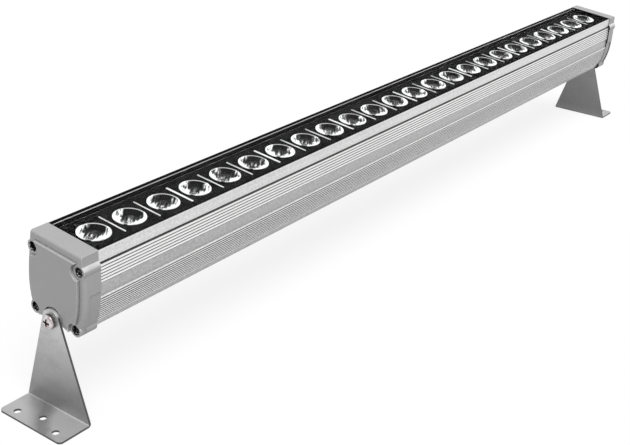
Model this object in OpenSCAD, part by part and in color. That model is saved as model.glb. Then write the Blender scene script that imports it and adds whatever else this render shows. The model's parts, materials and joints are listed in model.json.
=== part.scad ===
// LED wall washer: a straight ribbed aluminium bar with 24 lenses under glass,
// hung between two L-shaped feet on which it tilts.
// X runs along the bar, Z is up, and Z = 0 is the underside of the feet.
// The left end is the -X end. All sizes are in millimetres.

/* [Overall] */
// Length over both end caps
bar_l = 1000; // [920:10:1150]
// Height of the tilt axis above the mounting surface
pivot_h = 87.5; // [82:0.5:130]
// Angle by which the light leans toward -Y as it stands
rest_tilt = 6; // [0:1:10]

/* [Housing profile] */
// Height of the top edge above the tilt axis
rim_rise = 70.5; // [68:0.5:78]
// Width over the top edge
top_w = 58; // [56:0.5:60]
// How much wider the smooth band under the top edge gets down to its foot
band_flare = 2; // [1:0.2:2.6]
// How much wider the shoulder is than the smooth band
shoulder_step = 2.6; // [2:0.2:3.2]
// Height of the shoulder above the tilt axis
shoulder_rise = 57.4; // [56:0.2:58.4]
// How much wider the bead is than the shoulder
belly_swell = 4.2; // [3:0.2:6]
// Height of the bead above the tilt axis
belly_rise = 28; // [26:0.5:30]
// How much narrower than the bead the profile is at the height of the tilt axis
base_draw = 9.8; // [8.6:0.2:10.6]
// Radius of the bottom corners
corner_r = 3.6; // [3.2:0.1:4.4]
// Wall thickness
wall_t = 2.2; // [1.8:0.1:2.6]
// Height of the dark groove under the smooth band
groove_h = 1.8; // [1.2:0.1:2.2]
// Depth of the dark groove
groove_d = 0.9; // [0.5:0.1:1]
// Depth of the ribs
rib_d = 0.8; // [0.4:0.1:0.9]
// Number of wide ribs below the shoulder
wide_rib_n = 6; // [3:1:7]
// Pitch of the wide ribs
wide_rib_pitch = 2.75; // [2.2:0.05:3]
// Number of fine ribs below the bead
fine_rib_n = 10; // [4:1:10]
// Pitch of the fine ribs
fine_rib_pitch = 2.2; // [1.8:0.05:2.3]
// Height of the bead
bead_h = 1.3; // [1:0.1:1.8]
// Drop from the bead to the first fine rib
bead_gap = 1.4; // [1:0.1:2]

/* [Glass and seal] */
// Thickness of the glass
glass_t = 3; // [2.5:0.1:3.4]
// Depth of the glass face below the top edge
glass_drop = 0.9; // [0.6:0.1:1.1]
// Thickness of the seal under the glass
seal_t = 1; // [0.8:0.1:1.4]
// Thickness of the seal beside the glass
seal_side_t = 1; // [0.8:0.1:1.2]
// Thickness of the lip that covers the top edge of the housing
lip_t = 0.5; // [0.3:0.1:0.8]
// Thickness of the housing's top edge under the lip
rim_t = 0.8; // [0.6:0.1:1]
// Width of the seal's face beside the window
seal_face_w = 4.5; // [4.2:0.1:4.9]
// Width of the seal across the two ends
seal_end_w = 4.5; // [3.5:0.1:5.5]

/* [Lens row] */
// Number of lenses
lens_n = 24;
// Number of lenses on one plate
lens_per_plate = 3;
// Free length at each end of the row
row_margin = 2.5; // [2:0.5:6]
// Outer diameter of a lens
lens_d = 29; // [27:0.5:30]
// Diameter of a lens at its foot
lens_foot_d = 10; // [9:0.5:12]
// Thickness of the flange of a lens
lens_flange_t = 1.8; // [1.6:0.1:2]
// Diameter of the hollow over the diode
lens_hollow_d = 6.4; // [6:0.2:7]
// Depth of the hollow over the diode
lens_hollow_h = 5; // [4:0.5:6]
// Thickness of the black lens plates
plate_t = 2; // [1.8:0.1:2.4]
// Depth of the seat in the plate for the flange
lens_seat_t = 1.2; // [1:0.1:1.4]
// Clearance of the lens plates in the window, on each side
plate_clear = 0.2; // [0.1:0.05:0.4]
// Gap between two lens plates
plate_gap = 0.6; // [0.4:0.1:1]
// Width of the rail that carries the plates
rail_w = 2.1; // [1.6:0.1:2.4]
// Height of the rail
rail_t = 2; // [1.6:0.1:2.6]
// Length of the bright bars between the lenses
bar_strip_l = 32; // [28:0.5:36]
// Width of the bars within a plate
thin_strip_w = 1; // [0.6:0.1:1.2]
// Width of the bars over the joints between plates
wide_strip_w = 1.8; // [1.2:0.1:2.2]
// Height of the bars above the plate
strip_h = 0.7; // [0.4:0.1:0.9]

/* [Electronics] */
// Depth of the web that carries the diode board, below the top edge
web_drop = 22.9; // [22:0.1:24]
// Thickness of the web
web_t = 3.2; // [2.6:0.1:4]
// Thickness of the boards
board_t = 1.6; // [1:0.1:2]
// Free width beside the diode board
led_board_gap = 10; // [8:0.5:14]
// Side of a diode package
led_w = 5; // [3.5:0.5:5.5]
// Height of a diode package
led_h = 1; // [0.8:0.1:1.4]
// Diameter of the dome of a diode
led_dome_d = 4; // [3:0.2:4.4]
// Diameter of the board screws
board_screw_d = 3; // [2.5:0.5:3]
// Height of the driver board above the tilt axis
driver_rise = 12; // [10:0.5:16]
// Length of the driver board
driver_l = 380; // [300:10:420]
// Reach of the guide ribs that hold the driver board
guide_reach = 3; // [2:0.2:4]
// Thickness of the guide ribs
guide_t = 1.3; // [1:0.1:1.6]
// Length of the transformer core
core_l = 32; // [26:1:36]
// Width of the transformer core
core_w = 28; // [22:1:32]
// Height of the transformer core
core_h = 22; // [18:1:24]
// Diameter of the capacitors
capacitor_d = 16; // [12:1:18]
// Height of the capacitors
capacitor_h = 24; // [18:1:25]

/* [End caps] */
// Length of an end cap along the bar
cap_t = 17.5; // [16:0.5:20]
// Thickness of the front wall of an end cap
cap_front_t = 7; // [6.4:0.1:8]
// Length of the flange that goes all round at the back of the cap
cap_flange_t = 7.5; // [5:0.5:9]
// How far the cap stands out beyond the housing
cap_over = 1.1; // [0.8:0.1:1.4]
// How much wider than the housing's top edge the cap is at its own top
cap_top_step = 1.2; // [0.6:0.2:2]
// How much wider the cap's straight shoulders get down to the upper screws
cap_neck_flare = 1.6; // [0.8:0.2:2.2]
// Radius of the rounded edge along the top of the front
cap_edge_r = 2.4; // [1.4:0.2:4]
// Radius of the rounded edges down both flanks of the front
cap_flank_r = 3.5; // [2:0.5:5]
// Height of the upper screws above the tilt axis
upper_screw_rise = 56; // [55:0.5:56.5]
// Distance of the upper screws from the profile's shoulder
upper_screw_inset = 4.3; // [4.1:0.1:4.9]
// Radius of the round ears at the upper screws
upper_ear_r = 6.3; // [5.8:0.1:6.5]
// Radius of the round ears at the lower screws
lower_ear_r = 6; // [5.6:0.1:6.4]
// Radius of the shallow arch under the front of the cap
arch_r = 58; // [50:1:70]
// Clearance from the tilt axis to the top of the arch
arch_drop = 0.6; // [0.4:0.1:2]
// How far the panel stands out from the front of the cap
panel_raise = 2.5; // [1:0.1:3]
// Distance of the panel from the edge of the cap
panel_inset = 6.5; // [6:0.5:8]
// Height of the panel's top line above the tilt axis
panel_rise = 63.2; // [62:0.1:64]
// Width of the groove round the panel
panel_groove_w = 1; // [0.6:0.1:1.2]
// Depth of the groove round the panel
panel_groove_d = 0.8; // [0.4:0.1:1]
// Clearance of the panel round the ears of the upper screws
panel_upper_gap = 1.1; // [0.8:0.1:1.4]
// Clearance of the panel round the ears of the lower screws
panel_lower_gap = 1; // [0.6:0.1:1.4]
// Clearance of the panel round the top of the foot
panel_foot_gap = 1.4; // [0.8:0.1:2]
// Depth of the relief on the flanks of the cap
relief_d = 0.8; // [0.4:0.1:1]
// Top of the relief above the tilt axis
relief_rise = 35; // [30:1:40]
// Length of the full-width strip in front of the relief
relief_front_t = 5; // [4:0.5:6]
// Thickness of the gasket behind the cap
gasket_t = 1; // [0.8:0.1:1.2]
// Width of the gasket
gasket_w = 4; // [3:0.5:5]

/* [Screws and pivots] */
// Diameter of the cap screws
screw_d = 3.5; // [3:0.1:3.6]
// Diameter of the heads of the cap screws
screw_head_d = 7.4; // [6.6:0.1:7.6]
// Height of the heads of the cap screws
screw_head_h = 2.6; // [2:0.1:3]
// Depth of the sunk hole for the heads
screw_sink = 5; // [4:0.5:5.5]
// Diameter of the sunk hole for the heads
screw_sink_d = 8.8; // [8.2:0.1:9]
// Grip of the cap screws in the housing
screw_grip = 14; // [10:1:20]
// Diameter of the pivot bolts
bolt_d = 6; // [5:0.5:6]
// Diameter of the heads of the pivot bolts
bolt_head_d = 13.4; // [12:0.2:14]
// Height of the heads of the pivot bolts
bolt_head_h = 4; // [3.4:0.2:5]
// Grip of the pivot bolts in their inserts
bolt_grip = 10; // [8:0.5:11]
// Outer diameter of the threaded inserts
insert_d = 9; // [8:0.2:9.6]
// Length of the threaded inserts
insert_l = 11; // [9:0.5:12]
// Outer diameter of the lock washers
washer_d = 11.8; // [11:0.2:12.4]
// Thickness of the lock washers
washer_t = 1.2; // [1:0.1:2]
// Radius of the round pad that carries the foot
pad_r = 9.3; // [9:0.1:9.6]
// How far the pad stands out beyond the panel
pad_lead = 0.3; // [0.3:0.1:1]

/* [Feet] */
// Thickness of the sheet
sheet_t = 2; // [1.5:0.1:3]
// Radius of the rounded top of a foot
ear_r = 10; // [9.7:0.1:12]
// Width of a foot at the bottom
foot_w = 76; // [70:1:90]
// Reach of a foot beyond the sheet's outer face
foot_reach = 31.5; // [29:0.5:40]
// Inside radius of the bend
bend_r = 1; // [1:0.5:3]
// Radius of the outer corners of a foot
foot_corner_r = 4; // [3:0.5:7]
// Diameter of the fixing holes
hole_d = 6.5; // [5:0.1:7]
// Distance between the two outer fixing holes
hole_pitch = 48; // [40:1:56]
// Distance of the two outer holes from the foot's edge
hole_edge = 8; // [7:0.5:10]
// How much farther in the middle hole lies
middle_hole_step = 7; // [0:0.5:9]

/* [Cable gland] */
// Height of the gland above the tilt axis
gland_rise = 37; // [34:1:38]
// Width across the flats of the gland
gland_flats = 15; // [14:1:16]
// Thickness of the hexagon
gland_hex_t = 4; // [3:0.5:5]
// Diameter of the threads of the gland
gland_thread_d = 11.8; // [10:0.2:12]
// Bore for the cable
gland_bore_d = 6.6; // [5:0.2:7]
// Length of the nut of the gland
gland_nut_l = 11; // [9:0.5:13]

/* [Hidden] */
$fn = 64;
plate_n = lens_n / lens_per_plate;

// One overrun for every cut, one radial fit for parts that stay put, and the
// play between the feet and what turns against them.
over = 1;
fit = 0.05;
play = 0.2;

// Small sizes that belong to single pieces
seal_clear = 0.2;
lens_clear = 1.2;
lens_rim_w = 0.9;
lens_dish_h = 1.6;
lens_button_h = 0.8;
channel_wall = 2.1;
boss_wall = 2.6;
gasket_inset = 0.7;
driver_end_gap = 20;

// Shares of the sizes that they follow
rib_crest_share = 0.36;
rib_upper_share = 0.26;
rib_lower_share = 0.08;
lens_button_share = 0.17;
lens_curve_share = 0.62;
core_x_share = 0.3;
capacitor_x_shares = [0.52, 0.62];
head_edge_share = 0.25;
recess_width_share = 0.14;
recess_length_share = 0.54;
screw_head_share = 0.6;
screw_head_width_share = 2;
core_flange_share = 0.17;
core_leg_share = 0.8;
gland_stem_share = 0.6;
gland_dome_share = 0.55;
gland_bulge_share = 1.05;

// Steps of curved outlines
side_steps = 8;
arc_steps = 8;
lens_steps = 7;

// Lengths along the bar
housing_l = bar_l - 2 * cap_t;
row_l = housing_l - 2 * row_margin;
pitch = row_l / lens_n;
plate_l = pitch * lens_per_plate;
cap_face_x = bar_l / 2;
panel_x = cap_face_x + panel_raise;
pad_x = panel_x + pad_lead;
sheet_in_x = pad_x + play;
sheet_out_x = sheet_in_x + sheet_t;

// Widths of the profile
band_w = top_w + band_flare;
shoulder_w = band_w + shoulder_step;
belly_w = shoulder_w + belly_swell;
base_w = belly_w - base_draw;
cap_top_w = top_w + cap_top_step;
cap_neck_w = cap_top_w + cap_neck_flare;
window_w = top_w - 2 * rim_t - 2 * seal_face_w;
plate_w = window_w - 2 * plate_clear;
upper_screw_y = shoulder_w / 2 - upper_screw_inset;

// Heights above the tilt axis
rim_top = rim_rise - lip_t;
glass_top = rim_rise - glass_drop;
glass_low = glass_top - glass_t;
seal_low = glass_low - seal_t;
plate_top = seal_low - seal_clear;
plate_low = plate_top - plate_t;
rail_low = plate_low - rail_t;
web_top = rim_rise - web_drop;
web_low = web_top - web_t;
board_top = web_top + board_t;
lens_flange_low = plate_top - lens_seat_t;
lens_top = lens_flange_low + lens_flange_t;
lens_low = board_top + lens_clear;
lower_screw_y = base_w / 2 - rib_d - corner_r;
screw_hole_d = screw_d + 4 * fit;

// Half-width of the housing over its ribs at a height above the tilt axis
function side_y(z) = z >= belly_rise
    ? (belly_w - (belly_w - shoulder_w) * pow((z - belly_rise) / (shoulder_rise - belly_rise), 2)) / 2
    : (belly_w - (belly_w - base_w) * pow((belly_rise - z) / belly_rise, 2)) / 2;

// A stretch of the flank, inset from the ribs' crests, from one height to another
function flank(z0, z1, inset) = [
    for (i = [0:side_steps])
        let (z = z0 + (z1 - z0) * i / side_steps)
        [side_y(z) - inset, z]
];

// One rib below height z: a slope that faces up, the crest, a steep step and the valley
function rib(z, rib_pitch) =
    let (
        crest_top = z - rib_pitch * rib_upper_share,
        crest_low = crest_top - rib_pitch * rib_crest_share,
        foot_z = crest_low - rib_pitch * rib_lower_share
    )
    [
        [side_y(z) - rib_d, z],
        [side_y(crest_top), crest_top],
        [side_y(crest_low), crest_low],
        [side_y(foot_z) - rib_d, foot_z]
    ];

function arc(y, z, r, a0, a1) = [
    for (i = [0:arc_steps])
        let (a = a0 + (a1 - a0) * i / arc_steps)
        [y + r * cos(a), z + r * sin(a)]
];

function mirrored(points) = concat(
    points,
    [for (i = [len(points) - 1:-1:0]) [-points[i][0], points[i][1]]]
);

fine_rib_top = belly_rise - bead_h / 2 - bead_gap;
fine_rib_low = fine_rib_top - fine_rib_n * fine_rib_pitch;
wide_rib_low = shoulder_rise - wide_rib_n * wide_rib_pitch;

half_outline = concat(
    [
        [top_w / 2, rim_top],
        [band_w / 2, shoulder_rise + groove_h],
        [band_w / 2 - groove_d, shoulder_rise + groove_h],
        [band_w / 2 - groove_d, shoulder_rise]
    ],
    [for (i = [0:wide_rib_n - 1]) each rib(shoulder_rise - i * wide_rib_pitch, wide_rib_pitch)],
    flank(wide_rib_low, belly_rise + bead_h / 2 + rib_d, rib_d),
    [
        [side_y(belly_rise), belly_rise + bead_h / 2],
        [side_y(belly_rise), belly_rise - bead_h / 2],
        [side_y(belly_rise) - rib_d, belly_rise - bead_h / 2 - rib_d]
    ],
    [for (i = [0:fine_rib_n - 1]) each rib(fine_rib_top - i * fine_rib_pitch, fine_rib_pitch)],
    [[side_y(fine_rib_low) - rib_d, fine_rib_low]],
    arc(lower_screw_y, 0, corner_r, 0, -90)
);

// Section of the upper chamber below the rail, and of the lower chamber
inner = rib_d + wall_t;
upper_chamber = mirrored(concat(
    [[band_w / 2 - groove_d - wall_t, rail_low]],
    [[band_w / 2 - groove_d - wall_t, shoulder_rise]],
    flank(shoulder_rise, web_top, inner + groove_d)
));
lower_chamber = mirrored(concat(
    flank(web_low, 0, inner),
    arc(lower_screw_y, 0, corner_r - wall_t, 0, -90)
));

// Points of the cap's flank, with its shoulders above the upper screws
function cap_half(inset) = concat(
    [
        [cap_top_w / 2 - inset, rim_rise],
        [cap_neck_w / 2 - inset, upper_screw_rise + upper_ear_r - cap_over]
    ],
    flank(shoulder_rise, 0, inset - cap_over)
);

// Turns a drawing of the cross section into a bar of the given length along X
module along_x(length) {
    rotate([90, 0, 90]) linear_extrude(length) children();
}

module screw_places() {
    for (side = [-1, 1]) {
        translate([side * upper_screw_y, upper_screw_rise]) children();
        translate([side * lower_screw_y, 0]) children();
    }
}

module at_axis() {
    translate([0, 0, pivot_h]) rotate([rest_tilt, 0, 0]) children();
}

module right_end() {
    at_axis() children();
}

module left_end() {
    at_axis() mirror([1, 0, 0]) children();
}

module rect(width, low, high) {
    translate([-width / 2, low]) square([width, high - low]);
}

// Ribbed extrusion with two chambers, screw channels, rails and guide ribs
module housing_section() {
    difference() {
        polygon(mirrored(half_outline));
        rect(top_w - 2 * rim_t, seal_low, rim_rise + over);
        rect(window_w, plate_low, rim_rise);
        rect(window_w - 2 * rail_w, rail_low - over, plate_top);
        difference() {
            polygon(upper_chamber);
            upper_channels();
        }
        difference() {
            polygon(lower_chamber);
            lower_channels();
            guides();
        }
        screw_places() circle(d = screw_d + 2 * fit);
    }
}

module upper_channels() {
    for (side = [-1, 1]) translate([side * upper_screw_y, upper_screw_rise]) {
        circle(r = screw_d / 2 + channel_wall);
    }
}

module lower_channels() {
    for (side = [-1, 1]) translate([side * lower_screw_y, 0]) {
        circle(r = screw_d / 2 + channel_wall);
    }
}

// Pairs of guide ribs that hold the driver board by its long edges
driver_w = 2 * (side_y(driver_rise) - inner) - 2 * play;
module guides() {
    difference() {
        union() {
            rect(belly_w, driver_rise - guide_t, driver_rise);
            rect(belly_w, driver_rise + board_t + play, driver_rise + board_t + play + guide_t);
        }
        rect(driver_w - 2 * guide_reach, driver_rise - guide_t - over, driver_rise + board_t + guide_t + over);
    }
}

// Places of the screws of the diode board, at the joints between the plates
board_screw_xs = [for (i = [1:plate_n - 1]) i * plate_l - row_l / 2];
board_hole_d = board_screw_d + 4 * fit;

module housing() {
    color("silver") at_axis() difference() {
        translate([-housing_l / 2, 0, 0]) along_x(housing_l) housing_section();
        for (x = board_screw_xs) translate([x, 0, web_low - over]) {
            cylinder(d = board_screw_d + 2 * fit, h = web_t + 2 * over);
        }
    }
}

module glass() {
    color([0.8, 0.88, 0.9, 0.35]) at_axis() translate([-housing_l / 2 + seal_side_t + play, 0, 0])
        along_x(housing_l - 2 * seal_side_t - 2 * play)
        rect(top_w - 2 * rim_t - 2 * seal_side_t - play, glass_low, glass_top);
}

// Black seal: it lies under the glass, runs up beside it and covers the rim
module glass_seal() {
    seat_w = top_w - 2 * rim_t;
    color("black") at_axis() difference() {
        translate([-housing_l / 2, 0, 0]) along_x(housing_l) {
            rect(seat_w - 2 * fit, seal_low, rim_rise);
            rect(top_w, rim_top, rim_rise);
        }
        translate([-housing_l / 2 + seal_side_t, 0, 0]) along_x(housing_l - 2 * seal_side_t)
            rect(seat_w - 2 * seal_side_t, glass_low, rim_rise + over);
        translate([-housing_l / 2 + seal_end_w, 0, 0]) along_x(housing_l - 2 * seal_end_w)
            rect(window_w, seal_low - over, rim_rise + over);
    }
}

function lens_x(i) = (i - (lens_n + 1) / 2) * pitch;

// Black plate with the seats of three lenses; plates are counted from the left
module lens_plate(i) {
    first = (i - 1) * lens_per_plate + 1;
    length = plate_l - plate_gap;
    color([0.06, 0.06, 0.06]) at_axis() difference() {
        translate([lens_x(first) - pitch / 2 + plate_gap / 2, 0, 0]) along_x(length)
            rect(plate_w, plate_low, plate_top);
        for (k = [first:first + lens_per_plate - 1]) translate([lens_x(k), 0, 0]) {
            translate([0, 0, plate_low - over]) cylinder(r = lens_body_r + 4 * fit, h = plate_t + 2 * over);
            translate([0, 0, lens_flange_low]) cylinder(d = lens_d + 4 * fit, h = lens_seat_t + over);
        }
    }
}

// Collimator: a bowl that widens from its foot to the flange, hollow at the foot,
// with a shallow dish and a round button in its upper face
lens_body_r = lens_d / 2 - lens_rim_w;
lens_button_r = lens_d * lens_button_share;

module lens(i) {
    rise = lens_flange_low - lens_low;
    bowl = [
        for (k = [0:lens_steps])
            let (t = k / lens_steps)
            [lens_foot_d / 2 + (lens_body_r - lens_foot_d / 2) * pow(t, lens_curve_share), lens_low + rise * t]
    ];
    section = concat(
        [[0, lens_low + lens_hollow_h], [lens_hollow_d / 2, lens_low + lens_hollow_h], [lens_hollow_d / 2, lens_low]],
        bowl,
        [
            [lens_d / 2, lens_flange_low],
            [lens_d / 2, lens_top]
        ],
        [
            for (k = [0:lens_steps])
                let (t = k / lens_steps)
                [lens_body_r + (lens_button_r - lens_body_r) * t, lens_top - lens_dish_h * sin(90 * t)]
        ],
        [
            for (k = [1:lens_steps])
                let (t = k / lens_steps)
                [lens_button_r * (1 - t), lens_top - lens_dish_h + lens_button_h * sin(90 * t)]
        ]
    );
    color([0.9, 0.95, 1, 0.6]) at_axis() translate([lens_x(i), 0, 0]) rotate_extrude() polygon(section);
}

// Bright bars between the lenses: thin ones on the plates, wide ones on the joints
module strip(x, width) {
    translate([x - width / 2, -bar_strip_l / 2, plate_top]) cube([width, bar_strip_l, strip_h]);
}

module thin_strips() {
    color("white") at_axis() for (i = [1:lens_n - 1]) {
        if (i % lens_per_plate != 0) strip(lens_x(i) + pitch / 2, thin_strip_w);
    }
}

module wide_strips() {
    color("white") at_axis() for (i = [lens_per_plate:lens_per_plate:lens_n - 1]) {
        strip(lens_x(i) + pitch / 2, wide_strip_w);
    }
}

module led_board() {
    board_w = 2 * side_y(web_top) - 2 * inner - 2 * led_board_gap;
    color("ivory") at_axis() difference() {
        translate([-row_l / 2, 0, 0]) along_x(row_l) rect(board_w, web_top, board_top);
        for (x = board_screw_xs) translate([x, 0, web_top - over]) {
            cylinder(d = board_hole_d, h = board_t + 2 * over);
        }
    }
}

module led_diodes() {
    color("gold") at_axis() for (i = [1:lens_n]) translate([lens_x(i), 0, board_top]) {
        translate([-led_w / 2, -led_w / 2, 0]) cube([led_w, led_w, led_h]);
        intersection() {
            translate([0, 0, led_h]) sphere(d = led_dome_d);
            cylinder(d = led_dome_d + over, h = led_h + led_dome_d);
        }
    }
}

module board_screws() {
    head_h = board_screw_d * screw_head_share;
    color("gray") at_axis() for (x = board_screw_xs) translate([x, 0, 0]) {
        translate([0, 0, web_low]) cylinder(d = board_screw_d, h = web_t + board_t + head_h / 2);
        translate([0, 0, board_top]) cylinder(d = board_screw_d * screw_head_width_share, h = head_h);
    }
}

// Driver in the lower chamber, near the end where the cable comes in
driver_x = housing_l / 2 - driver_l - driver_end_gap;
driver_top = driver_rise + board_t;

module driver_board() {
    color("darkgreen") at_axis() translate([driver_x, 0, 0]) along_x(driver_l)
        rect(driver_w, driver_rise, driver_top);
}

module driver_transformer() {
    flange_t = core_h * core_flange_share;
    color("dimgray") at_axis() translate([driver_x + driver_l * core_x_share, 0, driver_top]) {
        translate([-core_l / 2, -core_w / 2, 0]) cube([core_l, core_w, flange_t]);
        cylinder(d = core_w * core_leg_share, h = core_h - flange_t / 2);
        translate([-core_l / 2, -core_w / 2, core_h - flange_t]) cube([core_l, core_w, flange_t]);
    }
}

module driver_capacitors() {
    color("midnightblue") at_axis() for (share = capacitor_x_shares) {
        translate([driver_x + driver_l * share, 0, driver_top]) cylinder(d = capacitor_d, h = capacitor_h);
    }
}

// Outline of the cap without the ears round its screws
module cap_outline() {
    polygon(mirrored(concat(cap_half(0), [[lower_screw_y, -corner_r - cap_over]])));
}

// Circle whose top is the shallow arch under the front of the cap
module arch_circle() {
    translate([0, -arch_r - arch_drop]) circle(r = arch_r, $fn = 180);
}

// Circles round the screws, wider than the ears by a gap
module ear_circles(upper_gap, lower_gap) {
    for (side = [-1, 1]) {
        translate([side * upper_screw_y, upper_screw_rise]) circle(r = upper_ear_r + upper_gap);
        translate([side * lower_screw_y, 0]) circle(r = lower_ear_r + lower_gap);
    }
}

// The panel's outline, drawn in from the cap's edge, the ears and the top of the foot
module panel_outline(inset) {
    difference() {
        intersection() {
            polygon(mirrored(concat(cap_half(panel_inset + inset), [[lower_screw_y, -arch_r]])));
            rect(belly_w, -corner_r, panel_rise - inset);
        }
        arch_circle();
        ear_circles(panel_upper_gap + inset, panel_lower_gap + inset);
        circle(r = ear_r + panel_foot_gap + inset);
    }
}

// What the housing's end offers to the gasket, narrowed by an inset
module housing_end(inset) {
    polygon(mirrored(concat(
        [[top_w / 2 - inset, rim_top - inset], [band_w / 2 - groove_d - inset, shoulder_rise]],
        flank(shoulder_rise, 0, rib_d + inset),
        arc(lower_screw_y, 0, corner_r - inset, 0, -90)
    )));
}

// Opening of the gasket, which keeps clear of the screws
pocket_inset = gasket_inset + gasket_w;
module gasket_opening() {
    difference() {
        polygon(mirrored(concat(
            [[top_w / 2 - pocket_inset, rim_top - pocket_inset]],
            flank(shoulder_rise, 0, pocket_inset + rib_d)
        )));
        screw_places() circle(r = screw_d / 2 + boss_wall);
    }
}

// Part of the cap's back that is hollow; it keeps clear of the pivot too
module cap_pocket_outline() {
    difference() {
        gasket_opening();
        circle(r = insert_d / 2 + boss_wall);
    }
}

module end_cap() {
    back_x = cap_face_x - cap_t;
    difference() {
        union() {
            difference() {
                translate([back_x, 0, 0]) along_x(cap_t) cap_outline();
                translate([back_x + cap_flange_t, 0, 0]) along_x(cap_t) arch_circle();
                cap_top_edge();
                cap_flank_edges();
                cap_reliefs();
                translate([cap_face_x - panel_groove_d, 0, 0]) along_x(over) panel_outline(-panel_groove_w);
            }
            translate([back_x, 0, 0]) along_x(cap_t) ear_circles(0, 0);
            translate([panel_foot_x, 0, 0]) along_x(panel_x - panel_foot_x) panel_outline(0);
            translate([panel_foot_x, 0, 0]) along_x(pad_x - panel_foot_x) circle(r = pad_r);
        }
        translate([back_x - over, 0, 0]) along_x(gasket_t + over) housing_end(gasket_inset - fit);
        translate([back_x - over, 0, 0]) along_x(cap_t - cap_front_t + over) cap_pocket_outline();
        translate([back_x - over, 0, 0]) along_x(cap_t + 2 * over) screw_places() circle(d = screw_hole_d);
        translate([cap_face_x - screw_sink, 0, 0]) along_x(screw_sink + over) {
            screw_places() circle(d = screw_sink_d);
        }
        translate([pad_x - insert_l, 0, 0]) along_x(insert_l + over) circle(d = insert_d + 2 * fit);
    }
}

// Plane inside the cap's front wall from which the panel and the pad rise
panel_foot_x = cap_face_x - cap_front_t / 2;

// Rounds the front edge of the cap's top
module cap_top_edge() {
    translate([cap_face_x - cap_edge_r, 0, rim_rise - cap_edge_r]) difference() {
        translate([0, -belly_w / 2, 0]) cube([cap_edge_r + over, belly_w, cap_edge_r + over]);
        rotate([90, 0, 0]) cylinder(r = cap_edge_r, h = belly_w + 2 * over, center = true);
    }
}

// Rounds the front edge of the cap along each straight stretch of its flanks
module cap_flank_edges() {
    points = flank(shoulder_rise, 0, -cap_over);
    for (i = [0:side_steps - 1]) {
        run = points[i + 1] - points[i];
        angle = atan2(run[0], -run[1]);
        translate([cap_face_x, points[i][0], points[i][1]]) rotate([angle, 0, 0]) edge_cut(norm(run));
        translate([cap_face_x, -points[i][0], points[i][1]]) rotate([-angle, 0, 0]) {
            mirror([0, 1, 0]) edge_cut(norm(run));
        }
    }
}

// What a rounded edge of the given length, downward from the origin, takes away
module edge_cut(length) {
    translate([-cap_flank_r, -cap_flank_r, -length - over]) difference() {
        cube([cap_flank_r + over, cap_flank_r + over, length + 2 * over]);
        translate([0, 0, -over]) cylinder(r = cap_flank_r + fit, h = length + 4 * over);
    }
}

// Shallow reliefs on both flanks of the cap, from the lower ears to the middle
module cap_reliefs() {
    translate([cap_face_x - cap_t - over, 0, 0]) along_x(cap_t - relief_front_t + over) difference() {
        rect(belly_w + 2 * cap_over + 2 * over, 0, relief_rise);
        polygon(mirrored(flank(relief_rise + over, -over, relief_d - cap_over)));
    }
}

module end_cap_left() {
    color([0.62, 0.63, 0.63]) left_end() end_cap();
}

module end_cap_right() {
    color([0.62, 0.63, 0.63]) right_end() difference() {
        end_cap();
        translate([cap_face_x - cap_t, 0, gland_rise]) rotate([0, 90, 0])
            cylinder(d = gland_thread_d + 2 * fit, h = cap_t + panel_raise + over);
    }
}

// Gasket between cap and housing, with an eye round each screw
module gasket() {
    translate([cap_face_x - cap_t, 0, 0]) along_x(gasket_t) difference() {
        housing_end(gasket_inset);
        gasket_opening();
        screw_places() circle(d = screw_hole_d);
    }
}

module cap_gasket_left() {
    color("dimgray") left_end() gasket();
}

module cap_gasket_right() {
    color("dimgray") right_end() gasket();
}

// Pan head with a cross recess; the screw lies along X with its head outward
module pan_head(diameter, height) {
    edge_h = height * head_edge_share;
    slot_w = diameter * recess_width_share;
    slot_l = diameter * recess_length_share;
    dome = [
        for (i = [0:arc_steps - 1])
            let (a = 90 * i / arc_steps)
            [diameter / 2 * cos(a), edge_h + (height - edge_h) * sin(a)]
    ];
    difference() {
        rotate([0, 90, 0]) rotate_extrude() polygon(concat([[0, 0], [diameter / 2, 0]], dome, [[0, height]]));
        translate([height / 2, -slot_w / 2, -slot_l / 2]) cube([height, slot_w, slot_l]);
        translate([height / 2, -slot_l / 2, -slot_w / 2]) cube([height, slot_l, slot_w]);
    }
}

module cap_screws() {
    seat_x = cap_face_x - screw_sink;
    length = cap_t - screw_sink + screw_grip;
    for (side = [-1, 1], z = [0, upper_screw_rise]) {
        y = z == 0 ? lower_screw_y : upper_screw_y;
        translate([seat_x, side * y, z]) {
            pan_head(screw_head_d, screw_head_h);
            rotate([0, -90, 0]) cylinder(d = screw_d, h = length);
        }
    }
}

module cap_screws_left() {
    color("darkgray") left_end() cap_screws();
}

module cap_screws_right() {
    color("darkgray") right_end() cap_screws();
}

module pivot_insert() {
    translate([pad_x - insert_l, 0, 0]) along_x(insert_l) difference() {
        circle(d = insert_d);
        circle(d = bolt_d + 2 * fit);
    }
}

module pivot_insert_left() {
    color("goldenrod") left_end() pivot_insert();
}

module pivot_insert_right() {
    color("goldenrod") right_end() pivot_insert();
}

// Bolt that clamps the foot through its lock washer; it turns with the bar
washer_x = sheet_out_x + play;
module pivot_bolt() {
    grip_x = pad_x - bolt_grip;
    head_x = washer_x + washer_t;
    translate([head_x, 0, 0]) pan_head(bolt_head_d, bolt_head_h);
    translate([grip_x, 0, 0]) along_x(head_x - grip_x) circle(d = bolt_d);
}

module pivot_bolt_left() {
    color("gainsboro") left_end() pivot_bolt();
}

module pivot_bolt_right() {
    color("gainsboro") right_end() pivot_bolt();
}

// Split spring washer
module lock_washer() {
    slit = washer_t / 2;
    translate([washer_x, 0, 0]) along_x(washer_t) difference() {
        circle(d = washer_d);
        circle(d = bolt_d + 4 * fit);
        rotate(-30) translate([0, -slit / 2]) square([washer_d, slit]);
    }
}

module lock_washer_left() {
    color("silver") left_end() lock_washer();
}

module lock_washer_right() {
    color("silver") right_end() lock_washer();
}

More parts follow.
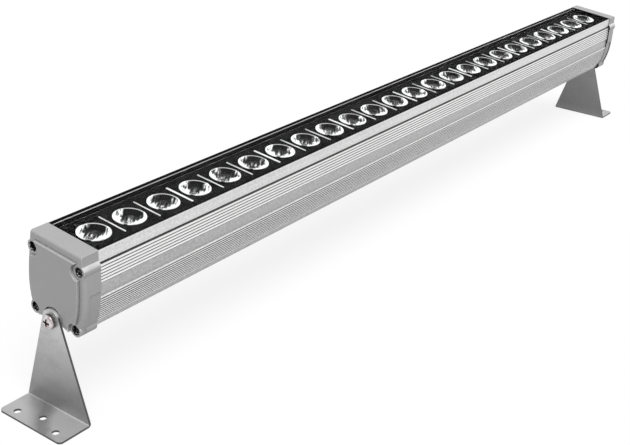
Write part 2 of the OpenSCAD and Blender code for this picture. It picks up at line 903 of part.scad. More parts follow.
// L-shaped foot: a tapering sheet with a round top, bent outward at the bottom
module foot() {
    bend_z = sheet_t + bend_r - pivot_h;
    corner_dist = norm([foot_w / 2, bend_z]);
    tangent_a = atan2(bend_z, foot_w / 2) + acos(ear_r / corner_dist);
    tangent = (ear_r - fit) * [cos(tangent_a), sin(tangent_a)];
    difference() {
        union() {
            translate([sheet_in_x, 0, 0]) along_x(sheet_t) {
                polygon([tangent, [foot_w / 2, bend_z], [-foot_w / 2, bend_z], [-tangent[0], tangent[1]]]);
                circle(r = ear_r);
            }
            foot_bend(bend_z);
            foot_flat();
        }
        translate([sheet_in_x - over, 0, 0]) along_x(sheet_t + 2 * over) circle(d = bolt_d + 2 * fit);
    }
}

module foot_bend(bend_z) {
    radius = bend_r + sheet_t;
    translate([sheet_out_x + bend_r, 0, bend_z]) intersection() {
        rotate([90, 0, 0]) difference() {
            cylinder(r = radius, h = foot_w, center = true);
            cylinder(r = bend_r, h = foot_w + 2 * over, center = true);
        }
        translate([-radius, -foot_w / 2, -radius]) cube([radius, foot_w, radius]);
    }
}

module foot_flat() {
    start_x = sheet_out_x + bend_r;
    end_x = sheet_out_x + foot_reach;
    hole_x = end_x - hole_edge;
    translate([0, 0, -pivot_h]) linear_extrude(sheet_t) difference() {
        union() {
            translate([start_x, -foot_w / 2]) square([foot_reach - bend_r - foot_corner_r, foot_w]);
            translate([start_x, -foot_w / 2 + foot_corner_r]) {
                square([foot_reach - bend_r, foot_w - 2 * foot_corner_r]);
            }
            for (side = [-1, 1]) {
                translate([end_x - foot_corner_r, side * (foot_w / 2 - foot_corner_r)]) circle(r = foot_corner_r);
            }
        }
        for (side = [-1, 1]) translate([hole_x, side * hole_pitch / 2]) circle(d = hole_d);
        translate([hole_x - middle_hole_step, 0]) circle(d = hole_d);
    }
}

module foot_left() {
    color([0.6, 0.6, 0.6]) translate([0, 0, pivot_h]) mirror([1, 0, 0]) foot();
}

module foot_right() {
    color([0.6, 0.6, 0.6]) translate([0, 0, pivot_h]) foot();
}

// Gland for the cable, in the cap at the right end
module on_gland() {
    right_end() translate([panel_x, 0, gland_rise]) rotate([0, 90, 0]) children();
}

gland_stem_l = gland_nut_l * gland_stem_share;
gland_root_l = cap_front_t + panel_raise;
module cable_gland() {
    color("dimgray") on_gland() difference() {
        union() {
            translate([0, 0, -gland_root_l]) cylinder(d = gland_thread_d, h = gland_root_l);
            cylinder(d = gland_flats / cos(30), h = gland_hex_t, $fn = 6);
            cylinder(d = gland_thread_d, h = gland_hex_t + gland_stem_l);
        }
        translate([0, 0, -gland_root_l - over]) {
            cylinder(d = gland_bore_d, h = gland_root_l + gland_hex_t + gland_stem_l + 2 * over);
        }
    }
}

module gland_nut() {
    dome_r = gland_flats * gland_dome_share;
    color("dimgray") on_gland() translate([0, 0, gland_hex_t]) difference() {
        union() {
            cylinder(d = gland_flats / cos(30), h = gland_nut_l / 2, $fn = 6);
            intersection() {
                cylinder(d = gland_flats, h = gland_nut_l);
                translate([0, 0, gland_nut_l - dome_r]) sphere(r = dome_r * gland_bulge_share);
            }
        }
        translate([0, 0, -over]) cylinder(d = gland_thread_d + 2 * fit, h = gland_stem_l + over);
        cylinder(d = gland_bore_d, h = gland_nut_l + over);
    }
}

housing();
glass();
glass_seal();
led_board();
led_diodes();
board_screws();
thin_strips();
wide_strips();
driver_board();
driver_transformer();
driver_capacitors();
end_cap_left();
end_cap_right();
cap_gasket_left();
cap_gasket_right();
cap_screws_left();
cap_screws_right();
pivot_insert_left();
pivot_insert_right();
pivot_bolt_left();
pivot_bolt_right();
lock_washer_left();
lock_washer_right();
foot_left();
foot_right();
cable_gland();
gland_nut();
for (i = [1:plate_n]) {
    lens_plate(i);
}
for (i = [1:lens_n]) {
    lens(i);
}
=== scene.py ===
import json
import math

import bpy
from mathutils import Matrix, Vector

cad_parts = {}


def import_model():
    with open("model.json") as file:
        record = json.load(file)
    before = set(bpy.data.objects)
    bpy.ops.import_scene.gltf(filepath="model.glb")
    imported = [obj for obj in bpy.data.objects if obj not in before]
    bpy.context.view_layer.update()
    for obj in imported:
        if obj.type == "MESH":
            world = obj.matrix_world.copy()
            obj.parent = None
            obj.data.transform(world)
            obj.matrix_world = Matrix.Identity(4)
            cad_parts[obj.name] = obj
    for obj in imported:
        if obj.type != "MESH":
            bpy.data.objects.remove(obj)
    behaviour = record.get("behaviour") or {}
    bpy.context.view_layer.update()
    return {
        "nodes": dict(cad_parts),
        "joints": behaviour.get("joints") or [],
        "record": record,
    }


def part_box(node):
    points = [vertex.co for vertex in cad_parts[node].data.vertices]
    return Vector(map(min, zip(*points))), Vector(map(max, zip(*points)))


# Looks of the wall washer: finishes on the pieces of the frame, studio and camera.
# Everything is in metres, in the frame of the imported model, and angles are in degrees.
# Levels and colours are linear, and one level stands for a grey.
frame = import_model()
nodes = frame["nodes"]
record = frame["record"]

# The photograph's width in pixels, and the camera that was fitted to it
PHOTO_W = 630
FOCAL_PX = 1110.1
CAMERA_AZIMUTH = -53.30
CAMERA_ELEVATION = 24.97
CAMERA_ROLL = 1.66
CAMERA_DISTANCE = 1.2660
CAMERA_SLIDE = Vector((0.09268, 0.08259))
CAMERA_CLIP = 0.05
SENSOR_W = 36.0

# Brightness of the light: the world reaches every side, the sun adds direction.
# A level of 1 is what a white surface that faces the light sends back. Metal and
# glass look into a brighter world, and the camera into a white one.
WORLD_LEVEL = 0.32
WORLD_MIRRORED = 0.80
KEY_LEVEL = 0.68
KEY_TOWARD = Vector((-0.28, -0.42, 0.86))
KEY_ANGLE = 40
KEY_DISTANCE = 3

# Floor: what it throws back on the object, and what the camera sees of it, a
# share that the object's shadow darkens under a glow that brings it up to white
FLOOR_BOUNCE = 0.40
FLOOR_SHADED = 0.22
FLOOR_GLOW = 0.81
FLOOR_HALF = 6.0
FLOOR_DROP = 0.0002

# Kinds of ray that look at the floor or the world, straight or by way of metal or glass
LOOKING_RAYS = ("Is Camera Ray", "Is Glossy Ray", "Is Transmission Ray")

# The tilt axis, and how far the bar leans at rest, in radians
tilt_axis = Vector(next(j for j in frame["joints"] if j["name"] == "tilt")["pos_m"])
glass_low, glass_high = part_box("glass")
glass_mid = (Vector(glass_low) + Vector(glass_high)) / 2 - tilt_axis
LEAN = math.atan2(-glass_mid.y, glass_mid.z)

# The part of its range that noise mostly fills
NOISE_LOW, NOISE_HIGH = 0.2, 0.8

# Levels of bare metal, of painted highlights and painted glints, and of the painted shade inside
# the caps and their screw bores
BARE_OR_HIGHLIGHT = 0.95
SHADE = 0.012

# Painted highlights and shade as levels over the height of the profile, in metres above the tilt
# axis
PROFILE_H = 0.075
PROFILE_PAINTED_LIGHT = [
    (0.0000, 0.38), (0.0035, 0.46), (0.0258, 0.40), (0.0262, 0.16), (0.0270, 0.16),
    (0.0273, 1.0), (0.0287, 1.0), (0.0291, 0.36), (0.0304, 0.39), (0.0312, 0.455),
    (0.0405, 0.475), (0.0572, 0.08), (0.0584, 0.08), (0.0590, 0.90), (0.0602, 0.90),
    (0.0612, 0.84), (0.0690, 0.86), (0.0720, 0.92),
]
# Rows of ribs: their top, pitch and number, and the levels from one rib to the next,
# a painted highlight on each crest and painted shade in the valleys
WIDE_RIB_PAINTED_LIGHT = [(0.0, 0.02), (0.06, 0.02), (0.09, 1.0), (0.64, 1.0), (0.67, 0.02)]
FINE_RIB_PAINTED_LIGHT = [(0.0, 0.03), (0.10, 0.03), (0.13, 0.92), (0.48, 0.92), (0.52, 0.03)]
PROFILE_RIBS = [(0.0574, 0.00275, 6, WIDE_RIB_PAINTED_LIGHT), (0.02595, 0.0022, 10, FINE_RIB_PAINTED_LIGHT)]
# How much the blasted grain shows on the bands beside the ribs
BLASTING = 0.16

# Painted reflection, a bright line along the seal's far wall beside the glass: where it
# starts across the bar, and its levels by height
SEAL_REFLECTION_ACROSS = 0.0250
SEAL_REFLECTION = [(0.0676, 0.0), (0.0679, 1.0), (0.0686, 1.0), (0.0689, 0.0)]

# Painted highlight on the caps' shoulders outside this half width, where they face this
# way sideways and upward
SHOULDER_HIGHLIGHT_ACROSS = 0.0285
SHOULDER_HIGHLIGHT_WAY = (0.77, 0.64)
# Places of the cap screws across and up the profile, and the radius of their bores
SCREW_PLACES = [(0.0270, 0.056), (0.0241, 0.0)]
SCREW_BORE_R = 0.00445
# Painted shade line on each cap's flanks: its place and width along the bar, and the height where
# it ends
CAP_SHADE_LINE_X, CAP_SHADE_LINE_W, CAP_SHADE_LINE_UP = 0.4946, 0.0007, 0.035

# Painted reflections on a foot, as levels up its upright sheet, and across its flat sheet
# from one side to the other
FOOT_UPRIGHT_REFLECTION = [(0.0, 0.40), (0.06, 0.37), (0.14, 0.32), (0.30, 0.37), (0.55, 0.46), (1.0, 0.74)]
FOOT_FLAT_REFLECTION = [(0.0, 0.70), (0.48, 0.68), (0.62, 0.38), (0.74, 0.32), (0.86, 0.49), (1.0, 0.60)]
FOOT_W = 0.076
FOOT_T = 0.002
# The flat sheet's painted reflection starts at the bend and slants this much per metre outward
FOOT_BEND_X, FOOT_SLANT = 0.505, 13.8

# Length of a plate with three lenses, and how far to either side of the bar's middle
# its thin bars grow duller
PLATE_L = 0.120
STRIP_REACH = 0.02

# Painted reflections in a lens, white crescents: their middle and reach, and their strength
LENS_REFLECTION_LOBES = [(130, 78, 0.66), (162, 52, 1.22), (-52, 64, 0.62), (-95, 54, 1.22)]
# Direction of the streaks in a lens's painted reflections, from X. Their scales go across
# that direction, along it, and along the bar, which makes each lens different.
LENS_STREAK_ANGLE = 37
LENS_STREAK_SCALES = (-7.0, 0.9, 37.0)


def paint(colour):
    """A socket as it is, and a colour or level with its alpha."""
    if isinstance(colour, bpy.types.NodeSocket):
        return colour
    return (*colour, 1.0) if isinstance(colour, tuple) else (colour, colour, colour, 1.0)


class Nodes:
    """One node tree; its methods add nodes and return their outputs."""

    def __init__(self, tree):
        self.tree = tree
        self.tree.nodes.clear()

    def node(self, kind, inputs=None, **settings):
        """A new node with these settings, and with its inputs fed by name or number."""
        made = self.tree.nodes.new(kind)
        for name, value in settings.items():
            setattr(made, name, value)
        for key, value in (inputs or {}).items():
            self.feed(made.inputs[key], value)
        return made

    def feed(self, socket, value):
        """Links an output to the socket, or sets the socket's own value; None leaves it."""
        if isinstance(value, bpy.types.NodeSocket):
            self.tree.links.new(value, socket)
        elif value is not None:
            socket.default_value = value

    def math(self, operation, a, b=None, c=None):
        return self.node("ShaderNodeMath", {0: a, 1: b, 2: c}, operation=operation).outputs[0]

    def times(self, a, b):
        return self.math("MULTIPLY", a, b)

    def minus(self, a, b):
        return self.math("SUBTRACT", a, b)

    def abs(self, value):
        return self.math("ABSOLUTE", value)

    def above(self, value, limit):
        return self.math("GREATER_THAN", value, limit)

    def below(self, value, limit):
        return self.math("LESS_THAN", value, limit)

    def highest(self, values):
        top, *others = values
        for value in others:
            top = self.math("MAXIMUM", top, value)
        return top

    def length(self, a, b):
        return self.math("SQRT", self.math("MULTIPLY_ADD", a, a, self.times(b, b)))

    def turned(self, a, b, angle):
        """The place (a, b) as seen from axes that are turned by an angle in radians."""
        cosine, sine = math.cos(angle), math.sin(angle)
        first = self.math("MULTIPLY_ADD", a, cosine, self.times(b, sine))
        second = self.math("MULTIPLY_ADD", a, -sine, self.times(b, cosine))
        return first, second

    def remap(self, value, low, high, to_low=0.0, to_high=1.0, smooth=True):
        """to_low at low, to_high at high, and what lies between for other values."""
        inputs = {
            "Value": value, "From Min": low, "From Max": high, "To Min": to_low, "To Max": to_high,
        }
        kind = "SMOOTHSTEP" if smooth else "LINEAR"
        return self.node("ShaderNodeMapRange", inputs, interpolation_type=kind).outputs["Result"]

    def rays(self, *kinds):
        """1 for a ray of one of these kinds, 0 for any other."""
        path = self.node("ShaderNodeLightPath")
        return self.highest([path.outputs[kind] for kind in kinds])


class Shader(Nodes):
    """One procedural material."""

    def __init__(self, name):
        self.material = bpy.data.materials.new(name)
        self.material.use_nodes = True
        super().__init__(self.material.node_tree)
        self.output = self.node("ShaderNodeOutputMaterial")
        self.coords = self.node("ShaderNodeTexCoord")

    def principled(self, **inputs):
        inputs = {name.replace("_", " "): value for name, value in inputs.items()}
        shader = self.node("ShaderNodeBsdfPrincipled", inputs)
        self.feed(self.output.inputs["Surface"], shader.outputs["BSDF"])

    def noise(self, scale, detail, roughness=0.55, distortion=0.0, vector=None):
        """Noise over the object, with one scale or one for each axis."""
        if vector is None:
            vector = self.coords.outputs["Object"]
        if isinstance(scale, tuple):
            mapping = self.node("ShaderNodeMapping", {"Vector": vector, "Scale": scale})
            vector, scale = mapping.outputs["Vector"], 1.0
        inputs = {
            "Vector": vector, "Scale": scale, "Detail": detail,
            "Roughness": roughness, "Distortion": distortion,
        }
        return self.node("ShaderNodeTexNoise", inputs).outputs["Fac"]

    def spread(self, noise, low, high):
        """A number from low to high that follows the noise."""
        return self.remap(noise, NOISE_LOW, NOISE_HIGH, low, high)

    def ramp(self, value, stops):
        """The colour or level for a value, from stops with a place and a colour or level."""
        node = self.node("ShaderNodeValToRGB", {"Fac": value})
        ramp = node.color_ramp
        while len(ramp.elements) < len(stops):
            ramp.elements.new(0.5)
        for element, (place, colour) in zip(ramp.elements, stops):
            element.position = place
            element.color = paint(colour)
        return node.outputs["Color"]

    def mix(self, factor, a, b):
        inputs = {"Factor": factor, "A": paint(a), "B": paint(b)}
        return self.node("ShaderNodeMix", inputs, data_type="RGBA").outputs["Result"]

    def tint(self, base, colour, mask, amount=1.0):
        """The base under a colour that covers it by the amount where the mask is 1."""
        return self.mix(self.times(mask, amount), base, colour)

    def axes(self, source="Object"):
        coords = self.coords.outputs[source]
        node = self.node("ShaderNodeSeparateXYZ", {"Vector": coords})
        return node.outputs["X"], node.outputs["Y"], node.outputs["Z"]

    def profile(self):
        """Place in the profile: across it from the middle, and up from the tilt axis."""
        _, y, z = self.axes()
        return self.turned(y, self.minus(z, tilt_axis.z), LEAN)

    def levels_up(self, up, levels):
        """The level at a height in the profile, from pairs of height and level."""
        height = self.math("DIVIDE", up, PROFILE_H)
        return self.ramp(height, [(z / PROFILE_H, level) for z, level in levels])

    def outward(self):
        """How far a face looks to its own end of the bar: 1 away from the middle, -1 back to it."""
        x, _, _ = self.axes()
        normal_x, _, _ = self.axes("Normal")
        return self.times(normal_x, self.math("SIGN", x))

    def facing(self, sideways, upward, low, high):
        """1 where a face looks the given way across the profile, on both flanks alike."""
        _, normal_y, normal_z = self.axes("Normal")
        side = self.times(self.abs(normal_y), sideways)
        return self.remap(self.math("MULTIPLY_ADD", normal_z, upward, side), low, high)

    def crevices(self, distance, low, high):
        """1 in narrow corners and slots, 0 on open faces."""
        node = self.node("ShaderNodeAmbientOcclusion", {"Distance": distance}, samples=6)
        return self.remap(node.outputs["AO"], low, high, 1.0, 0.0)

    def edges(self, radius):
        """1 on sharp edges, 0 on open faces."""
        surface = self.node("ShaderNodeNewGeometry")
        inputs = {0: self.rounded(radius, 6), 1: surface.outputs["True Normal"]}
        node = self.node("ShaderNodeVectorMath", inputs, operation="DOT_PRODUCT")
        return self.remap(node.outputs["Value"], 0.8, 0.995, 1.0, 0.0)

    def rounded(self, radius, samples=4):
        """A normal that rounds the sharp edges off."""
        return self.node("ShaderNodeBevel", {"Radius": radius}, samples=samples).outputs["Normal"]

    def bump(self, height, distance, strength=1.0, normal=None):
        inputs = {"Strength": strength, "Distance": distance, "Height": height, "Normal": normal}
        return self.node("ShaderNodeBump", inputs).outputs["Normal"]


# Materials: a function for each that is more than plain, and one for the plain ones

def extruded_aluminium():
    """Clear anodised profile, blasted bands, die lines along X; painted highlights on the crests
    and bands, painted shade in the valleys and groove.
    """
    s = Shader("anodised_aluminium")
    _, up = s.profile()
    die_lines = s.noise((0.6, 900, 900), 2.0)
    grain = s.noise((300, 1400, 1400), 3.0, 0.7)
    clouds = s.noise(9.0, 4.0, 0.6)
    blasted = s.ramp(s.noise(450.0, 2.0), [(0.38, 0.2), (0.62, 1.0)])

    # Painted highlights and shade by height in the profile, under the blasted grain; on the ribs,
    # painted highlights on the crests and painted shade in the valleys
    grain_and_painted_light = s.mix(BLASTING, s.levels_up(up, PROFILE_PAINTED_LIGHT), blasted)
    for top, pitch, count, levels in PROFILE_RIBS:
        step = s.math("DIVIDE", s.minus(top, up), pitch)
        inside = s.times(s.above(step, 0.0), s.below(step, float(count)))
        grain_and_painted_light = s.mix(inside, grain_and_painted_light, s.ramp(s.math("FRACT", step), levels))

    base = s.tint(grain_and_painted_light, 0.2, s.remap(die_lines, 0.3, 0.7), 0.14)
    base = s.tint(base, BARE_OR_HIGHLIGHT, s.remap(grain, 0.35, 0.65), 0.12)
    base = s.tint(base, 0.5, s.remap(clouds, 0.35, 0.7), 0.10)
    metallic = s.remap(grain_and_painted_light, 0.93, 1.0, 0.75, 1.0)
    rough = s.spread(grain, 0.34, 0.46)
    normal = s.bump(s.math("ADD", die_lines, grain), 0.00004, 0.5, s.rounded(0.00012))
    s.principled(Base_Color=base, Metallic=metallic, Roughness=rough, Normal=normal)
    return s.material


def cast_cap():
    """Sprayed die casting, fine orange peel; painted highlights on shoulders and edges, painted
    shade in corners, bores and on inner faces, painted glints in the bores.
    """
    s = Shader("cast_cap")
    x, _, _ = s.axes()
    across, up = s.profile()
    peel = s.noise(2600.0, 2.0)
    speckle = s.noise(1500.0, 3.0, 0.7)
    clouds = s.noise(34.0, 4.0, 0.6)
    painted_glints = s.remap(s.noise(620.0, 2.0), 0.56, 0.62)

    # Painted highlight on the shoulders, where they face up and sideways
    outside = s.above(s.abs(across), SHOULDER_HIGHLIGHT_ACROSS)
    shoulder_highlight = s.times(s.facing(*SHOULDER_HIGHLIGHT_WAY, 0.84, 0.98), outside)
    shoulder_highlight = s.times(shoulder_highlight, s.remap(clouds, 0.3, 0.6, 0.5, 1.0))
    # Painted shade line along the flanks
    off_shade_line = s.abs(s.minus(s.abs(x), CAP_SHADE_LINE_X))
    flank = s.times(s.below(up, CAP_SHADE_LINE_UP), outside)
    painted_line = s.times(flank, s.remap(off_shade_line, CAP_SHADE_LINE_W, CAP_SHADE_LINE_W / 2))
    # Painted shade in the screw bores, with painted glints in it
    bore_shade = s.highest([
        s.below(s.length(s.minus(s.abs(across), y), s.minus(up, z)), SCREW_BORE_R)
        for y, z in SCREW_PLACES
    ])
    # Painted shade on faces that look back to the bar's middle
    inner_shade = s.below(s.outward(), -0.7)

    base = s.ramp(speckle, [(0.3, 0.47), (0.7, 0.53)])
    base = s.tint(base, 0.42, s.remap(clouds, 0.35, 0.7), 0.15)
    # Painted highlights on the shoulders and sharp edges
    base = s.tint(base, BARE_OR_HIGHLIGHT, shoulder_highlight, 0.75)
    base = s.tint(base, BARE_OR_HIGHLIGHT, s.edges(0.0010), 0.8)
    # Painted shade in corners and along the flank line, painted shade and glints in the bores, and
    # painted shade on the inner faces
    base = s.tint(base, 0.04, s.crevices(0.0011, 0.25, 0.62), 0.70)
    base = s.tint(base, 0.12, painted_line, 0.55)
    base = s.mix(bore_shade, base, s.mix(painted_glints, SHADE, BARE_OR_HIGHLIGHT))
    base = s.mix(inner_shade, base, SHADE)
    rough = s.spread(peel, 0.40, 0.54)
    normal = s.bump(peel, 0.00003, 0.6, s.rounded(0.0006, 6))
    s.principled(
        Base_Color=base, Metallic=0.12, Roughness=rough, Specular_IOR_Level=0.35, Normal=normal,
    )
    return s.material


def foot_sheet():
    """Bent sheet, satin and bare: painted reflections light at the top and clouded at the bend,
    painted shade on cut edges and inner faces, painted highlights on its edges.
    """
    s = Shader("foot_sheet")
    x, y, z = s.axes()
    _, normal_y, normal_z = s.axes("Normal")
    grain = s.noise(1500.0, 3.0)
    rolled = s.noise((60, 26, 60), 4.0, 0.6)
    clouds = s.noise(30.0, 3.0, 0.55)

    # Painted reflections: lighter up the upright sheet, and in slanted, clouded bands across the
    # flat sheet
    upright_reflection = s.ramp(s.math("DIVIDE", z, tilt_axis.z), FOOT_UPRIGHT_REFLECTION)
    past_bend = s.minus(s.abs(x), FOOT_BEND_X)
    drift = s.math("MULTIPLY_ADD", clouds, 0.3, 0.35)
    slanted = s.math("MULTIPLY_ADD", past_bend, FOOT_SLANT, drift)
    flat_reflection = s.ramp(s.math("MULTIPLY_ADD", y, 1 / FOOT_W, slanted), FOOT_FLAT_REFLECTION)

    base = s.mix(s.remap(z, FOOT_T + 0.0002, FOOT_T + 0.0010), flat_reflection, upright_reflection)
    base = s.tint(base, 0.18, s.remap(rolled, 0.45, 0.72), 0.22)
    # Painted shade on faces that look back to the bar's middle, and painted highlight on the edges
    base = s.tint(base, 0.12, s.remap(s.outward(), -0.4, -0.8), 0.45)
    base = s.tint(base, 0.08, s.remap(grain, 0.40, 0.62), 0.14)
    base = s.tint(base, 0.8, s.edges(0.0005), 0.4)
    # Painted shade on the cut edges of the sheet
    cut_edge_shade = s.remap(s.abs(normal_y), 0.75, 0.9)
    in_sheet = s.remap(z, FOOT_T + 0.0001, FOOT_T - 0.0001)
    low_edge_shade = s.times(in_sheet, s.remap(normal_z, 0.5, 0.3))
    base = s.mix(s.highest([cut_edge_shade, low_edge_shade]), base, 0.10)
    rough = s.spread(grain, 0.38, 0.52)
    normal = s.bump(grain, 0.00003, 0.5, s.rounded(0.0004))
    s.principled(Base_Color=base, Metallic=0.6, Roughness=rough, Normal=normal)
    return s.material


def black_silicone():
    """Seal strip: matt black with a dry dusty bloom, and a painted reflection line beside the
    glass.
    """
    s = Shader("black_silicone")
    across, up = s.profile()
    bloom = s.noise(900.0, 4.0)
    # Painted reflection: a bright line beside the glass
    painted_line = s.times(s.above(across, SEAL_REFLECTION_ACROSS), s.levels_up(up, SEAL_REFLECTION))
    base = s.mix(painted_line, s.ramp(bloom, [(0.3, 0.008), (0.8, 0.026)]), 0.9)
    rough = s.spread(bloom, 0.45, 0.7)
    normal = s.bump(bloom, 0.00004, 0.6, s.rounded(0.0002))
    s.principled(Base_Color=base, Roughness=rough, Specular_IOR_Level=0.0, Normal=normal)
    return s.material


def black_plate():
    """Moulded plate round the lenses: black with a fine spark-eroded texture."""
    s = Shader("black_plate")
    texture = s.noise(3200.0, 2.0)
    dust = s.noise(420.0, 4.0, 0.7)
    base = s.ramp(dust, [(0.35, 0.009), (0.75, 0.034)])
    rough = s.spread(texture, 0.4, 0.62)
    normal = s.bump(texture, 0.00005, 0.8, s.rounded(0.00025))
    s.principled(Base_Color=base, Roughness=rough, Specular_IOR_Level=0.0, Normal=normal)
    return s.material


def bright_strip():
    """White bars: wide on the joints of the plates, thin and duller to the far side on them."""
    s = Shader("bright_strip")
    x, y, _ = s.axes()
    streaks = s.noise((1500, 60, 1500), 2.0)
    from_joint = s.math("PINGPONG", x, PLATE_L / 2)
    thin = s.above(from_joint, PLATE_L / 6)
    dullness = s.times(thin, s.remap(y, -STRIP_REACH, STRIP_REACH, 0.05, 0.42))
    base = s.mix(dullness, s.ramp(streaks, [(0.3, 0.92), (0.7, 1.0)]), 0.10)
    rough = s.spread(streaks, 0.25, 0.4)
    s.principled(Base_Color=base, Roughness=rough, Normal=s.rounded(0.0002))
    return s.material


def clear_glass():
    """Front glass: clear, with a faint body tint in its thickness."""
    s = Shader("clear_glass")
    wipe = s.noise((14, 60, 60), 3.0)
    base = s.ramp(wipe, [(0.0, (0.985, 0.992, 0.99)), (1.0, (0.995, 0.998, 0.997))])
    rough = s.remap(wipe, 0.3, 0.8, 0.0, 0.02)
    s.principled(Base_Color=base, Roughness=rough, IOR=1.015, Transmission_Weight=1.0)
    return s.material


def clear_lens():
    """Collimator: the light its bowl mirrors is painted, in two ragged crescents round a dark
    middle.
    """
    s = Shader("clear_lens")
    along, _, _ = s.axes()
    x, y, _ = s.axes("Generated")
    x = s.math("MULTIPLY_ADD", x, 2.0, -1.0)
    y = s.math("MULTIPLY_ADD", y, 2.0, -1.0)
    radius = s.length(x, y)
    angle = s.math("ARCTAN2", y, x)
    ahead, aside = s.turned(x, y, math.radians(LENS_STREAK_ANGLE))

    places = [s.times(v, scale) for v, scale in zip((aside, ahead, along), LENS_STREAK_SCALES)]
    streaks = s.node("ShaderNodeCombineXYZ", dict(enumerate(places)))
    rays = s.noise(1.0, 3.0, 0.6, 0.3, vector=streaks.outputs["Vector"])
    rays = s.remap(rays, 0.34, 0.66, -1.0, 1.0, smooth=False)
    splinters = s.noise(340.0, 4.0, 0.65, 2.0)

    # Painted reflections, white crescents: each lobe swells inward from the rim, and its edge is
    # ragged
    lobes = []
    for centre, reach, strength in LENS_REFLECTION_LOBES:
        nearness = s.math("COSINE", s.minus(angle, math.radians(centre)))
        lobes.append(s.remap(nearness, math.cos(math.radians(reach)), 1.0, 0.0, strength))
    lobe = s.highest(lobes)
    swell = s.math("MULTIPLY_ADD", lobe, 0.46, radius)
    splintered = s.math("MULTIPLY_ADD", splinters, 0.3, swell)
    ragged = s.math("MULTIPLY_ADD", rays, 0.30, splintered)
    painted_crescents = s.times(s.remap(ragged, 0.90, 1.46), s.remap(lobe, 0.02, 0.30))

    # Painted highlights: a thin ring round the lens, and veins in the lower part of its middle
    painted_ring = s.times(s.remap(radius, 0.88, 0.92), s.remap(radius, 1.0, 0.975))
    haze = s.times(s.remap(ahead, 0.35, -0.6), s.remap(radius, 0.95, 0.5))
    veins = s.remap(s.math("MULTIPLY_ADD", rays, 0.20, splinters), 0.44, 0.74, 0.03, 0.95)
    # The painted reflections and highlights over a near black base make the lens's colour
    light = s.highest([painted_crescents, s.times(painted_ring, 0.62), s.times(haze, veins)])
    base = s.ramp(light, [(0.0, 0.013), (0.4, 0.18), (0.7, 0.7), (0.9, 1.0)])
    s.principled(
        Base_Color=base, Roughness=0.3, Specular_IOR_Level=0.02, Normal=s.rounded(0.0003),
    )
    return s.material


def bright_steel():
    """Polished pivot bolt: a warm tinge on the dome, painted shade on the rim and in the recess."""
    s = Shader("bright_steel")
    normal_x, _, _ = s.axes("Normal")
    turned = s.noise((900, 120, 120), 3.0)
    tinge = s.noise(160.0, 3.0)
    rim_shade = s.remap(s.abs(normal_x), 0.25, 0.6, 1.0, 0.0)
    base = s.ramp(turned, [(0.3, 0.72), (0.7, 0.95)])
    base = s.tint(base, (0.42, 0.31, 0.32), s.remap(tinge, 0.40, 0.60), 0.9)
    # Painted shade on the rim, and in the recess
    base = s.tint(base, (0.06, 0.045, 0.05), rim_shade, 0.9)
    base = s.mix(s.crevices(0.0014, 0.35, 0.8), base, (0.16, 0.10, 0.11))
    rough = s.spread(turned, 0.16, 0.28)
    s.principled(Base_Color=base, Metallic=0.9, Roughness=rough, Normal=s.rounded(0.0003))
    return s.material


def steel():
    """Plated screws and washers: painted glints on a dark base, and painted shade in the recess."""
    s = Shader("steel")
    plating_glints_and_shade = s.noise(900.0, 3.0, 0.7)
    # Painted glints on a dark base, and painted shade in the recess
    base = s.ramp(plating_glints_and_shade, [(0.46, 0.02), (0.54, 0.35), (0.60, 0.95)])
    base = s.tint(base, 0.01, s.crevices(0.0010, 0.45, 0.95), 0.8)
    rough = s.spread(plating_glints_and_shade, 0.28, 0.45)
    s.principled(Base_Color=base, Metallic=0.9, Roughness=rough, Normal=s.rounded(0.0002))
    return s.material


def plain(name, noise, stops, rough, bump=None, strength=1.0, edge=None, metallic=0.0):
    """A finish with one noise: its colours, roughness and the height of its bump follow it."""
    s = Shader(name)
    texture = s.noise(*noise)
    rounded = s.rounded(edge) if edge else None
    normal = s.bump(texture, bump, strength, rounded) if bump else None
    base = s.ramp(texture, stops)
    s.principled(
        Base_Color=base, Metallic=metallic, Roughness=s.spread(texture, *rough), Normal=normal,
    )
    return s.material


# Colours of the plain finishes, from where the noise is low to where it is high
BRASS = [(0.3, (0.5, 0.36, 0.14)), (0.8, (0.74, 0.57, 0.27))]
GREEN_MASK = [(0.3, (0.01, 0.1, 0.035)), (0.7, (0.02, 0.17, 0.06))]
PHOSPHOR = [(0.3, (0.75, 0.6, 0.15)), (0.7, (0.92, 0.8, 0.35))]
SLEEVE = [(0.3, (0.01, 0.012, 0.03)), (0.8, (0.02, 0.025, 0.06))]

# The material of each slot of the record
MATERIALS = {
    "anodised_aluminium": extruded_aluminium(),
    "cast_cap": cast_cap(),
    "foot_sheet": foot_sheet(),
    "black_silicone": black_silicone(),
    "grey_silicone": plain(
        "grey_silicone", (1100.0, 3.0), [(0.3, 0.2), (0.8, 0.28)], (0.55, 0.8), 0.00005),
    "black_plate": black_plate(),
    "bright_strip": bright_strip(),
    "clear_glass": clear_glass(),
    "clear_lens": clear_lens(),
    "bright_steel": bright_steel(),
    "steel": steel(),
    "brass": plain("brass", (700.0, 4.0), BRASS, (0.25, 0.45), metallic=1.0),
    "gland_plastic": plain(
        "gland_plastic", (2400.0, 3.0), [(0.3, 0.018), (0.8, 0.035)], (0.38, 0.55),
        0.00004, 0.6, edge=0.0004),
    "white_board": plain(
        "white_board", (1300.0, 2.0), [(0.3, 0.72), (0.7, 0.82)], (0.3, 0.5), 0.00003),
    "green_board": plain("green_board", (1300.0, 2.0), GREEN_MASK, (0.3, 0.5), 0.00003),
    "diode": plain("diode", (1500.0, 2.0), PHOSPHOR, (0.25, 0.45)),
    "ferrite": plain("ferrite", (1600.0, 4.0), [(0.3, 0.03), (0.8, 0.07)], (0.5, 0.8), 0.00008),
    "capacitor_sleeve": plain(
        "capacitor_sleeve", ((400, 400, 60), 2.0), SLEEVE, (0.2, 0.35), 0.00006),
}

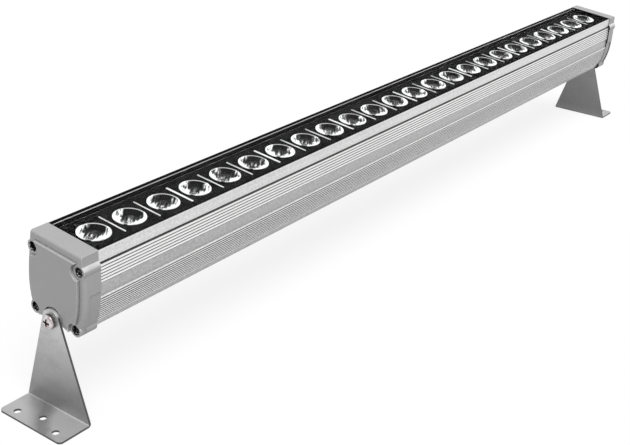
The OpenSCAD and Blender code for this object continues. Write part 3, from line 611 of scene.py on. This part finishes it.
for part in record["subparts"]:
    mesh = nodes[part["node"]].data
    mesh.materials.clear()
    mesh.materials.append(MATERIALS[part["material_slot"]])


# Floor, world, lamp and camera

def add(name, data):
    """A new object in the scene."""
    made = bpy.data.objects.new(name, data)
    bpy.context.scene.collection.objects.link(made)
    return made


def floor():
    """Plain floor; to what looks at it, it is white with the object's shadow on it."""
    mesh = bpy.data.meshes.new("floor")
    corners = [(-1, -1), (1, -1), (1, 1), (-1, 1)]
    mesh.from_pydata([(x * FLOOR_HALF, y * FLOOR_HALF, 0) for x, y in corners], [], [(0, 1, 2, 3)])
    plane = add("floor", mesh)
    plane.location.z = -FLOOR_DROP

    s = Shader("floor_white")
    bounce = s.node("ShaderNodeBsdfDiffuse", {"Color": paint(FLOOR_BOUNCE)})
    shaded = s.node("ShaderNodeBsdfDiffuse", {"Color": paint(FLOOR_SHADED)})
    glow = s.node("ShaderNodeEmission", {"Strength": FLOOR_GLOW})
    white = s.node(
        "ShaderNodeAddShader", {0: shaded.outputs["BSDF"], 1: glow.outputs["Emission"]})
    chosen = s.node("ShaderNodeMixShader", {
        0: s.rays(*LOOKING_RAYS), 1: bounce.outputs["BSDF"], 2: white.outputs["Shader"],
    })
    s.feed(s.output.inputs["Surface"], chosen.outputs["Shader"])
    mesh.materials.append(s.material)


def world():
    """Even light from all sides, brighter to metal and glass, and white to the camera."""
    made = bpy.data.worlds.new("studio")
    bpy.context.scene.world = made
    made.use_nodes = True
    s = Nodes(made.node_tree)
    seen = s.remap(s.rays(*LOOKING_RAYS), 0.0, 1.0, WORLD_LEVEL, WORLD_MIRRORED, smooth=False)
    strength = s.highest([seen, s.rays("Is Camera Ray")])
    sky = s.node("ShaderNodeBackground", {"Color": paint(1.0), "Strength": strength})
    s.node("ShaderNodeOutputWorld", {"Surface": sky.outputs["Background"]})


def sun(name, toward, angle, level):
    """Soft distant lamp; a white surface that faces it sends back its level."""
    light = bpy.data.lights.new(name, "SUN")
    light.energy = level * math.pi
    light.angle = math.radians(angle)
    made = add(name, light)
    made.location = toward * KEY_DISTANCE
    made.rotation_euler = toward.to_track_quat("Z", "Y").to_euler()


def camera():
    """Camera at the photograph's viewing angle, from the fitted angles and distances."""
    azimuth, elevation, roll = map(math.radians, (CAMERA_AZIMUTH, CAMERA_ELEVATION, CAMERA_ROLL))
    back = Vector((
        math.sin(azimuth) * math.cos(elevation),
        -math.cos(azimuth) * math.cos(elevation),
        math.sin(elevation),
    ))
    level_right = Vector((0, 0, 1)).cross(back).normalized()
    level_up = back.cross(level_right)
    right = level_right * math.cos(roll) + level_up * math.sin(roll)
    up = level_up * math.cos(roll) - level_right * math.sin(roll)
    aim = Vector((0, 0, tilt_axis.z))
    place = aim + back * CAMERA_DISTANCE - right * CAMERA_SLIDE.x - up * CAMERA_SLIDE.y
    data = bpy.data.cameras.new("camera")
    data.sensor_width = SENSOR_W
    data.lens = FOCAL_PX / PHOTO_W * SENSOR_W
    data.clip_start = CAMERA_CLIP
    made = add("camera", data)
    made.matrix_world = Matrix((
        (right.x, up.x, back.x, place.x),
        (right.y, up.y, back.y, place.y),
        (right.z, up.z, back.z, place.z),
        (0, 0, 0, 1),
    ))
    bpy.context.scene.camera = made


floor()
world()
sun("key", KEY_TOWARD.normalized(), KEY_ANGLE, KEY_LEVEL)
camera()
bpy.context.scene.view_settings.view_transform = "Standard"
